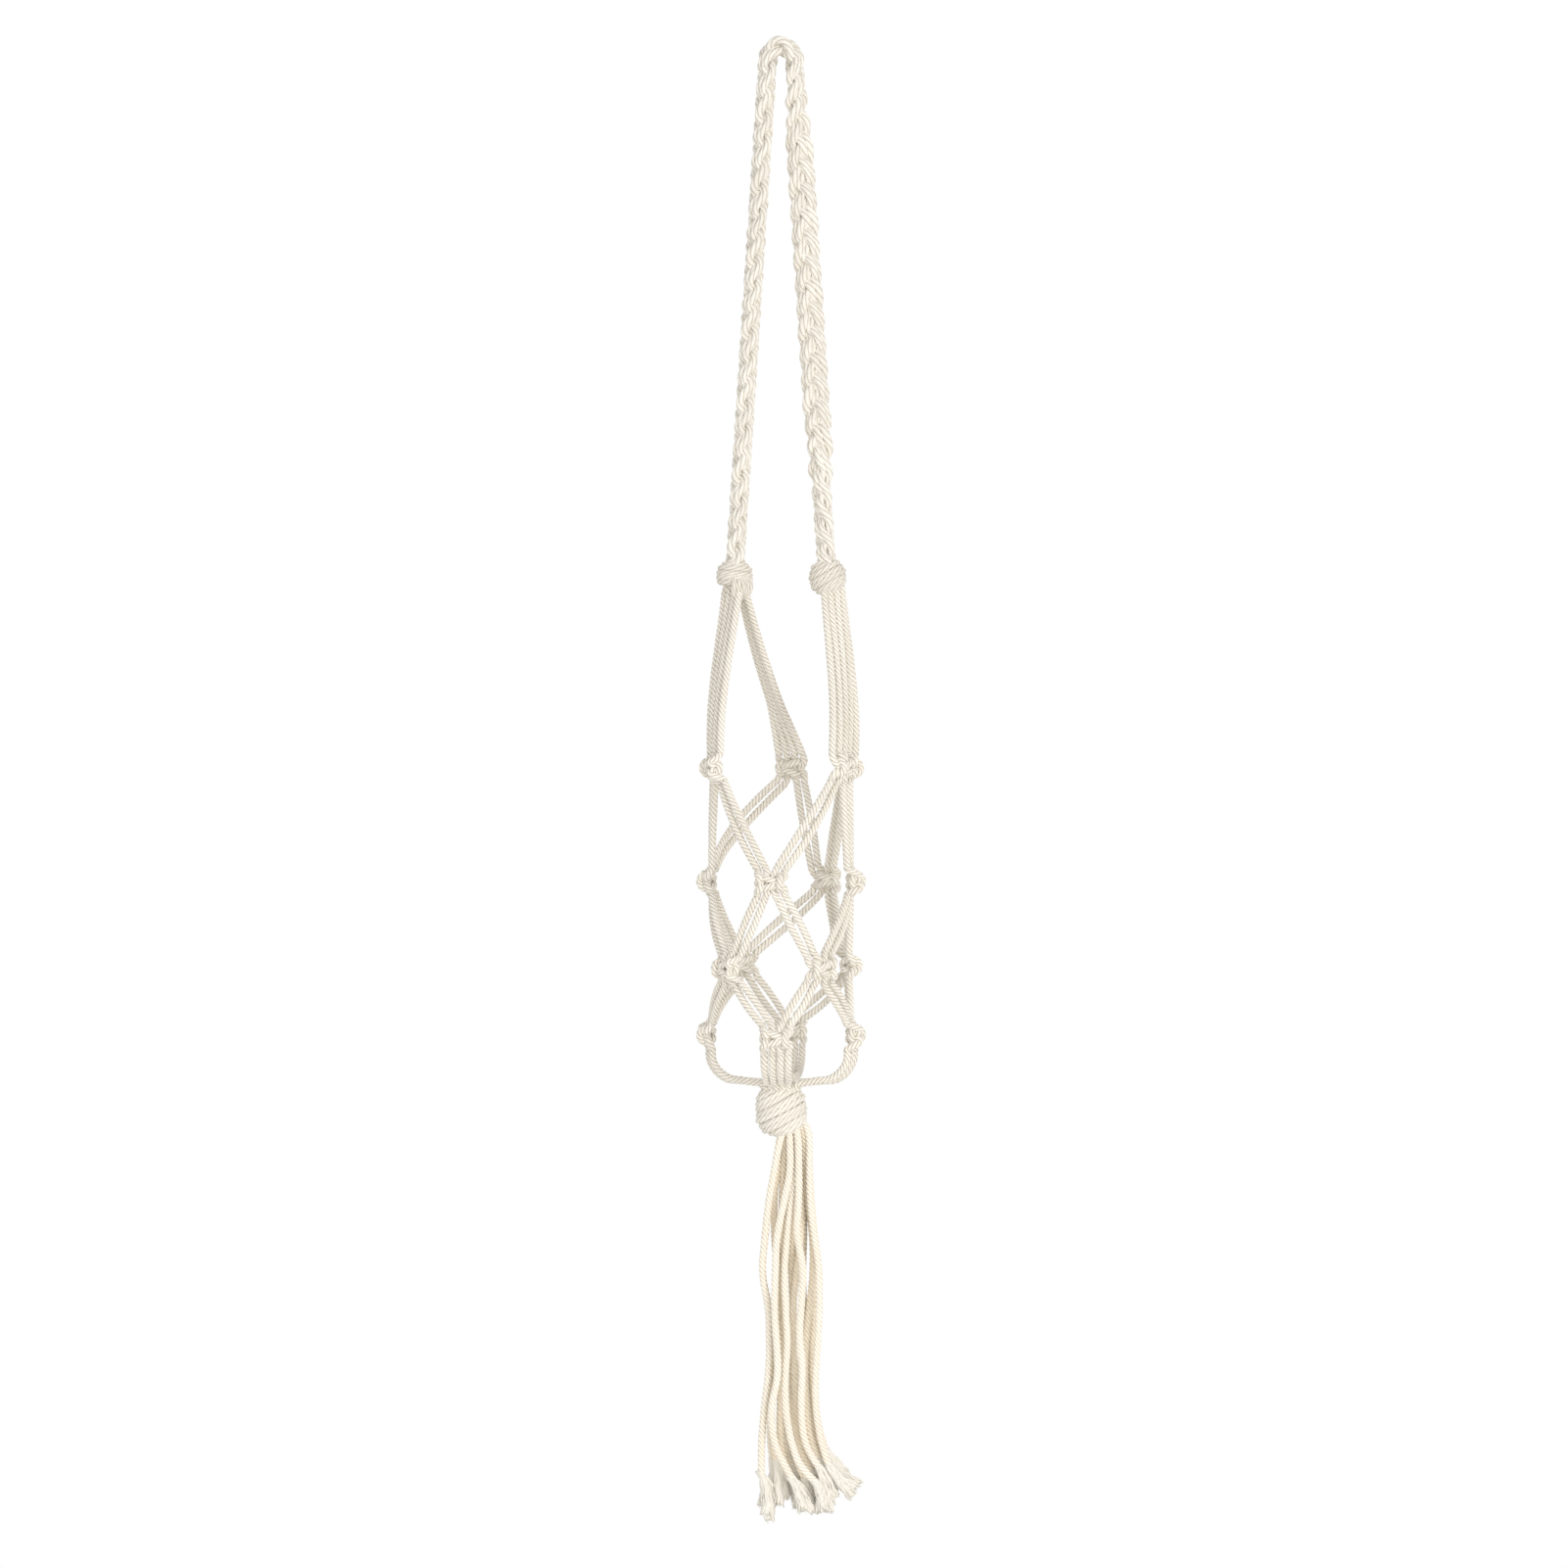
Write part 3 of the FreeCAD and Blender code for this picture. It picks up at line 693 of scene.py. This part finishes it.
# Overhand knots: bands of cords round the bundle that they tie
knotSettings = {
    "left_loop_knot": {
        "body": "handle", "place": (-27.0, 0.0, -302.0), "radius": 11.0, "tilt": 4.0, "square": 2.4,
        "band": {"cords": 6, "layers": 2, "width": 3.6, "pitch": 2.7, "latitude": 20.0, "seam": 188.0},
        "bight": {"cords": 6, "width": 3.2, "pitch": 3.0, "azimuth": 40.0, "reach": 1.38},
    },
    "right_loop_knot": {
        "body": "handle", "place": (27.0, 0.0, -302.0), "radius": 11.3, "tilt": -30.0, "square": 2.5,
        "band": {"cords": 8, "layers": 2, "width": 3.6, "pitch": 2.75, "latitude": 0.0, "seam": 172.0},
        "bight": None,
    },
    "base_knot": {
        "body": "base_knot", "place": (0.0, 0.0, -612.0), "radius": 15.5, "tilt": -28.0, "square": 2.9,
        "band": {"cords": 11, "layers": 2, "width": 3.7, "pitch": 3.05, "latitude": 3.0, "seam": 185.0},
        "bight": None,
    },
}
turnSettings = {
    "seed": 5,
    "firstSeed": 40,
    "layerStep": 0.72,  # from one layer to the one below, in widths of the cord
    "unevenPitch": 0.12,
    "unevenDepth": 0.5,
    "bandSteps": 160,
    "bandSweep": 420,  # degrees round the knot
    "bandLead": 30,  # of them before the seam
    "dive": 34 / 420,  # share of the band that sinks into the knot at each end
    "diveDepth": 0.5,
    "slant": 0.35,  # how far the band's ends turn down and up
    "slantShare": 0.2,
    "bightSteps": 90,
    "bightTop": 8,
    "bightSweep": 128,  # degrees down from there
    "bightFoot": 0.72,  # share of the knot's radius at its two ends
    "bightRound": 0.12,
    "bightFullness": 0.8,
    "bightStagger": 0.5,
}


def knotPoint(knot, azimuth, latitude, radius):
    local = np.stack([np.cos(latitude) * np.sin(azimuth),
                      -np.cos(latitude) * np.cos(azimuth), np.sin(latitude)], axis=1)
    tilt = math.radians(knot["tilt"])
    turned = local.copy()
    turned[:, 0] = local[:, 0] * math.cos(tilt) + local[:, 2] * math.sin(tilt)
    turned[:, 2] = local[:, 2] * math.cos(tilt) - local[:, 0] * math.sin(tilt)
    power = knot["square"]  # above 2 the ball is squared off, as seen from the side
    flat = np.hypot(turned[:, 0], turned[:, 1])
    bulge = (flat ** power + np.abs(turned[:, 2]) ** power) ** (-1 / power)
    return turned * (radius * bulge)[:, None] + np.array(knot["place"])


def bandLines(knot):
    band, s = knot["band"], turnSettings
    lines = []
    draw = np.random.default_rng(s["seed"])
    t = np.linspace(0, 1, s["bandSteps"])
    azimuth = np.radians(band["seam"] - s["bandLead"] + s["bandSweep"] * t)
    dive, bend = s["dive"], s["slantShare"]
    sink = smoothStep((dive - t) / dive) + smoothStep((t - 1 + dive) / dive)
    down, rise = smoothStep((bend - t) / bend), smoothStep((t - (1 - bend)) / bend)
    for layer in range(band["layers"]):
        middle = knot["radius"] - band["width"] / 2 - layer * band["width"] * s["layerStep"]
        for cord in range(band["cords"] - layer):
            place = cord - (band["cords"] - 1 - layer) / 2
            offset = (place + draw.uniform(-s["unevenPitch"], s["unevenPitch"])) * band["pitch"]
            radius = middle - draw.uniform(0, s["unevenDepth"])
            latitude = math.radians(band["latitude"]) + offset / radius - s["slant"] * down + s["slant"] * rise
            lines.append(knotPoint(knot, azimuth, latitude, radius * (1 - s["diveDepth"] * sink)))
    return lines


def bightLines(knot):
    bight, s = knot["bight"], turnSettings
    lines = []
    t = np.linspace(0, 1, s["bightSteps"])
    latitude = np.radians(s["bightTop"] - s["bightSweep"] * t)
    arch = np.sin(np.pi * t) ** s["bightFullness"]
    for cord in range(bight["cords"]):
        offset = (cord - (bight["cords"] - 1) / 2) * bight["pitch"] / knot["radius"]
        azimuth = math.radians(bight["azimuth"]) + offset * np.ones_like(t)
        swell = s["bightFoot"] + (bight["reach"] - s["bightFoot"] - s["bightRound"] * offset ** 2) * arch
        middle = knot["radius"] - bight["width"] / 2 - s["bightStagger"] * (cord % 2)
        lines.append(knotPoint(knot, azimuth, latitude, middle * swell))
    return lines


def tieBundleKnots(materials):
    r, seed = ropeSettings, turnSettings["firstSeed"]
    for name, knot in knotSettings.items():
        lines = [(line, knot["band"]["width"]) for line in bandLines(knot)]
        if knot["bight"]:
            lines += [(line, knot["bight"]["width"]) for line in bightLines(knot)]
        tubes = [ropeAlong(evenly(line, r["ringStep"]), width, seed + i, r["tightLay"], r["tightGroove"])
                 for i, (line, width) in enumerate(lines)]
        piece = makePiece(name + "_cords", tubes, materials[knot["body"]])
        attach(piece, knot["body"])
        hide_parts(name + "_core", name + "_turns")
    print("overhand knots tied:", ", ".join(knotSettings))


# Tassel: sixteen free cords, each with a frayed end
tasselSettings = {
    "cordWidth": 4.4,
    "knotDrop": 612.0,
    "knotReach": 15.8,
    "leastFall": 9.0,
    "intoKnot": 5.0,
    "gathering": (5.0, 0.0, -4.0),  # point in the knot that the cords make for
    "seed": 8,
    "firstSeed": 70,
    "splineOrder": 3,
    "splineSteps": 20,
    "stations": (0, 0.1, 0.2, 0.3, 0.4, 0.5, 0.6, 0.7, 0.8, 0.9, 0.96, 1),
    # A row's depths at even steps, then each cord's exit, drop, fan and shift in depth, and its places
    "rows": {
        "front": ((-4.4, -6.0, -7.5, -8.0, -8.6, -9.0), (
            (-3.4, 822, 1.0, (-2.6, 2.5, 0.0),
             (-0.5, -4.0, -7.5, -9.3, -11.5, -7.2, -6.7, -7.0, -9.7, -11.3, -11.4, -11.5)),
            (1.4, 824, -1.5, (-3.5, -2.5, -2.0),
             (5.0, 5.6, 1.0, -2.8, -3.4, -4.0, -2.6, -1.4, -6.6, -4.0, 2.0, 6.4)),
            (6.2, 826, -4.0, (-0.4, 0.8, -0.5),
             (8.6, 8.2, 5.2, 3.2, 1.5, 2.6, 3.8, 2.2, 2.6, 6.6, 11.6, 20.0)),
            (11.0, 819, -1.0, (-4.0, -2.0, 1.0),
             (10.0, 10.4, 10.3, 8.8, 13.2, 12.0, 10.4, 12.6, 11.4, 12.6, 17.0, 22.5)),
            (15.6, 818, 0.5, (0.0, 1.0, 2.0),
             (16.4, 16.2, 16.4, 18.6, 21.8, 22.3, 21.8, 20.2, 19.6, 22.0, 25.2, 27.6)))),
        "middle": ((0.0, 0.2, -0.4, 0.5, -0.2, 0.3), (
            (-5.8, 816, -2.0, (-2.6, -1.5, 0.0),
             (-1.2, -2.2, -4.4, -3.8, -2.4, -2.6, -4.0, -5.0, -5.8, -5.6, -4.8, -3.0)),
            (-1.0, 825, 2.5, (-3.6, 1.5, 0.0),
             (2.4, 1.4, 0.6, 1.2, 0.6, 0.4, 1.0, 0.5, -0.8, -0.6, 1.0, 4.5)),
            (3.8, 827, -3.0, (-0.3, 2.6, 1.5),
             (7.0, 8.6, 7.6, 6.4, 6.8, 7.2, 6.2, 7.4, 6.4, 7.4, 10.0, 14.5)),
            (8.6, 822, 3.0, (2.0, -3.5, -6.5),
             (10.5, 11.4, 11.8, 11.6, 9.0, 7.0, 6.3, 8.2, 8.0, 9.6, 13.4, 18.0)),
            (13.3, 816, -2.5, (-3.2, 2.2, 0.0),
             (13.4, 14.5, 15.4, 18.2, 18.9, 17.6, 15.0, 13.6, 14.2, 15.8, 18.6, 22.5)),
            (18.0, 811, 1.5, (2.5, 4.0, 0.0),
             (16.2, 16.4, 17.0, 18.8, 20.4, 20.4, 19.0, 17.6, 18.4, 21.2, 23.4, 26.4)))),
        "back": ((4.4, 6.2, 7.2, 8.2, 8.4, 9.0), (
            (-3.4, 817, -3.0, (0.4, 4.0, 0.0),
             (0.5, -3.0, -4.5, -3.4, -2.6, -3.0, -4.5, -6.2, -6.8, -6.6, -6.0, -4.8)),
            (1.4, 821, 1.0, (1.8, 0.0, 0.0),
             (4.0, 2.0, 0.6, -0.4, -0.2, 0.8, 0.6, 0.2, 0.6, 1.6, 3.0, 6.0)),
            (6.2, 824, 4.0, (1.2, 0.0, 0.0),
             (8.5, 7.0, 6.0, 5.0, 6.0, 7.0, 7.5, 6.0, 5.0, 5.6, 7.2, 10.5)),
            (11.0, 820, 1.5, (2.0, 0.0, 0.0),
             (12.0, 12.8, 13.0, 13.5, 12.5, 13.0, 13.5, 11.5, 11.0, 12.0, 14.2, 18.5)),
            (15.6, 814, -1.0, (1.4, 0.0, 0.0),
             (15.4, 15.9, 16.6, 18.4, 19.2, 18.5, 18.5, 17.6, 17.4, 18.6, 20.6, 24.5)))),
    },
}
fraySettings = {
    "locks": 4,
    "lockWidth": (2.3, 5.4),  # at the cord and at the tip
    "lockSides": 42,
    "ridges": 7,
    "ridgeDepth": 0.22,
    "ridgeDrift": 0.25,
    "ridgeTwist": 1.5,
    "strands": (  # loose yarns and fibres of a lock: count, widths, sides, share of the wave
        (9, (1.15, 0.8), 6, 1.0),
        (8, (0.4, 0.28), 4, 1.5),
    ),
    "strandOut": 1.0,  # how far a loose strand starts from the middle of its lock
    "strandMiddle": 0.75,
    "strandReach": (0.9, 1.0),
    "strandStray": 0.5,
    "strandEnds": (-1.0, 1.5),
    "spread": 0.08,
    "wave": 0.6,
    "waveCount": (12, 17),
    "waveStart": (0, 6),
    "ragged": 1.3,
    "raggedSides": 3,
    "steps": 18,
    "sideHint": (0.2, 1.0, 0.1),
    "plyTurn": 0.4,
    "plyOut": 0.8,
    "unevenLength": (0.92, 1.1),
    "overlap": 2.0,  # of a lock with its cord
    "heading": (0.2, 0.55, -0.1, -0.8),  # sweep of the first lock and of each next one, depth, fall
    "bendShare": 0.45,  # of the length before the bend, and after it
    "fallShare": 0.58,
    "yarnStretch": 0.3,
    "seedYarn": 7.3,
    "seeds": (0, 9),
    "looseCrest": 0.8,
    "places": (-12, -5, -3, 4, 9, 14, 20, 22.6, 24, 26.4, 28),  # of the cords' ends, sideways
    "lengths": (25, 25, 24, 21, 21, 20, 18, 18, 18.5, 19.5, 20.5),
    "sweeps": (1.8, 0.5, 0.4, 1.6, 1.5, 1.2, 0.9, 0.7, 1.2, 0.8, 1.5),  # how far a tuft starts to the right
    "leans": (-0.1, -0.1, 0.0, 0.25, 0.3, 0.15, 0.1, 0.2, 0.9, 0.5, 1.5),  # and how it falls
}


def splineLine(points):
    data = bpy.data.curves.new("tasselRoute", "CURVE")
    data.dimensions = "3D"
    spline = data.splines.new("NURBS")
    spline.points.add(len(points) - 1)
    for knot, point in zip(spline.points, points):
        knot.co = (*point, 1)
    spline.order_u = tasselSettings["splineOrder"]
    spline.use_endpoint_u = True
    spline.resolution_u = tasselSettings["splineSteps"]
    holder = bpy.data.objects.new("tasselRoute", data)
    bpy.context.scene.collection.objects.link(holder)
    mesh = bpy.data.meshes.new_from_object(holder)
    line = np.array([vertex.co for vertex in mesh.vertices])
    bpy.data.objects.remove(holder)
    bpy.data.meshes.remove(mesh)
    bpy.data.curves.remove(data)
    return line


def tasselRoute(depths, exitPlace, drop, fan, shifts, places):
    t = tasselSettings
    edge = max(0.0, math.hypot(exitPlace, depths[0]) - t["cordWidth"] / 2)
    fall = max(t["leastFall"], math.sqrt(max(0.0, t["knotReach"] ** 2 - edge ** 2)))
    top = t["knotDrop"] + fall
    shares = np.array(t["stations"])
    depth = (np.interp(shares, np.linspace(0, 1, len(depths)), depths) + fan * shares ** 2
             + np.interp(shares, (0, 0.5, 1), shifts))
    points = np.stack([np.array(places), depth, -top - (drop - top) * shares], axis=1)
    return np.array([exitPlace, depths[0], -top]), points


def plainTube(line, widths, sides, seed):
    tangents = unit(np.gradient(line, axis=0))
    first = unit(np.cross(tangents, ropeSettings["sideHint"]))
    second = np.cross(tangents, first)
    around = np.arange(sides) * 2 * math.pi / sides
    outward = np.cos(around)[None, :, None] * first[:, None] + np.sin(around)[None, :, None] * second[:, None]
    reach = (np.broadcast_to(widths, len(line)) / 2)[:, None]
    drawnOut = lengthsAlong(line)[:, None] * fraySettings["yarnStretch"] + seed * fraySettings["seedYarn"]
    grid = (len(line), sides)
    yarn = np.stack([np.broadcast_to(part, grid)
                     for part in (np.cos(around), np.sin(around), drawnOut)], axis=-1)
    return {"rings": line[:, None] + outward * reach[..., None], "line": line, "yarn": yarn,
            "crest": np.full(grid, fraySettings["looseCrest"])}


def frayedEnd(line, draw):
    f = fraySettings
    end = line[-1]
    sweep, tuftLength = (np.interp(end[0], f["places"], f[name]) for name in ("sweeps", "lengths"))
    fall = unit(np.array([np.interp(end[0], f["places"], f["leans"]), 0.0, -1.0]))
    side = unit(np.cross(fall, f["sideHint"]))
    over = np.cross(fall, side)
    t = np.linspace(0, 1, f["steps"])[:, None]
    tubes = []

    def swing():
        return np.sin(t * draw.uniform(*f["waveCount"]) + draw.uniform(*f["waveStart"]))

    def waved(start, middle, tip, wave):
        path = (1 - t) ** 2 * start + 2 * t * (1 - t) * middle + t ** 2 * tip
        kink = swing() * side
        return path + (kink + swing() * over) * wave * t

    def widths(ends):
        return ends[0] + (ends[1] - ends[0]) * t[:, 0]

    firstSweep, nextSweep, forward, down = f["heading"]
    turn = np.arange(f["lockSides"]) * 2 * math.pi / f["lockSides"]
    for ply in range(f["locks"]):
        angle = 2 * math.pi * ply / f["locks"] + draw.uniform(-f["plyTurn"], f["plyTurn"])
        away = side * math.cos(angle) + over * math.sin(angle)
        length = tuftLength * draw.uniform(*f["unevenLength"])
        heading = unit(unit(line[-1] - line[-6]) + (sweep * (firstSweep + nextSweep * ply), forward, down))
        start = end - heading * f["overlap"] + away * f["plyOut"]
        middle = start + heading * length * f["bendShare"] + away * length * f["spread"]
        tip = middle + fall * length * f["fallShare"] + away * length * f["spread"]
        path = waved(start, middle, tip, f["wave"])
        lock = plainTube(path, widths(f["lockWidth"]), f["lockSides"], draw.uniform(*f["seeds"]))
        drift = turn + f["ridgeDrift"] * np.sin(2 * turn + ply)
        twist = t * draw.uniform(-f["ridgeTwist"], f["ridgeTwist"])
        ridge = np.abs(np.cos(drift * f["ridges"] / 2 + twist))
        arms = (lock["rings"] - lock["line"][:, None]) * (1 - f["ridgeDepth"] * (1 - ridge))[..., None]
        cuts = draw.uniform(-1, 1, f["lockSides"] // f["raggedSides"])
        ragged = np.repeat(cuts, f["raggedSides"])[None, :, None] * f["ragged"]
        lock["rings"] = lock["line"][:, None] + arms + fall * ragged * (t ** 4)[..., None]
        lock["crest"] = ridge
        tubes.append(lock)
        for count, ends, sides, loose in f["strands"]:
            for strand in range(count):
                around = draw.uniform(0, 2 * math.pi)
                out = side * math.cos(around) + over * math.sin(around)
                reach = draw.uniform(*f["strandReach"]) * f["lockWidth"][1] / 2
                stray = draw.normal(0, f["strandStray"], 3)
                strandTip = tip + out * reach + stray + fall * draw.uniform(*f["strandEnds"])
                strandMiddle = middle + out * (reach * f["strandMiddle"])
                path = waved(start + out * f["strandOut"], strandMiddle, strandTip, f["wave"] * loose)
                tubes.append(plainTube(path, widths(ends), sides, draw.uniform(*f["seeds"])))
    return tubes


def hangTassel(cordMaterials, frayMaterial):
    t = tasselSettings
    draw = np.random.default_rng(t["seed"])
    gathering = np.array([0, 0, -t["knotDrop"]]) + t["gathering"]
    total = 0
    for rowName, (depths, cords) in t["rows"].items():
        for number, cord in enumerate(cords):
            exitPoint, points = tasselRoute(depths, *cord)
            inside = points[0] + unit(gathering - points[0]) * t["intoKnot"]
            line = splineLine([inside, *points])
            path = evenly(line, ropeSettings["ringStep"])
            rope = ropeAlong(path, t["cordWidth"], total + t["firstSeed"])
            place = "%s_%d" % (rowName, number + 1)
            piece = makePiece("tassel_cord_" + place, [rope], cordMaterials[rowName])
            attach(piece, "tassel")
            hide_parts("tassel_cords_" + rowName)
            tuft = makePiece("frayed_end_" + place, frayedEnd(path, draw), frayMaterial)
            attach(tuft, "tassel")
            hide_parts("frayed_ends_" + rowName)
            total += 1
    print("tassel hung:", total, "cords")


setStage()
lay = layGroup()
cordFinish = cottonMaterial("cottonCord", cottonSettings["cord"], lay)
plaitFinish = cottonMaterial("plaitedCord", cottonSettings["plait"], lay)
# the loop knots get a darker copy of the cord, painted shade
loopKnotShadedFinish = cottonMaterial("loopKnotShadedCord", cottonSettings["loopKnotShaded"], lay)
tasselFinish = cottonMaterial("tasselCord", cottonSettings["tassel"], lay)
frayFinish = cottonMaterial("frayedCotton", cottonSettings["fray"], lay)
# the middle row gets a yellower copy of the tassel cord, painted golden shade
innerShadeFinish = cottonMaterial("tasselInnerShadeCord", cottonSettings["innerShade"], lay)
hangTassel({"front": tasselFinish, "middle": innerShadeFinish, "back": tasselFinish}, frayFinish)
tieNet(cordFinish)
tieBundleKnots({"handle": loopKnotShadedFinish, "base_knot": cordFinish})
plaitLoop(plaitFinish)
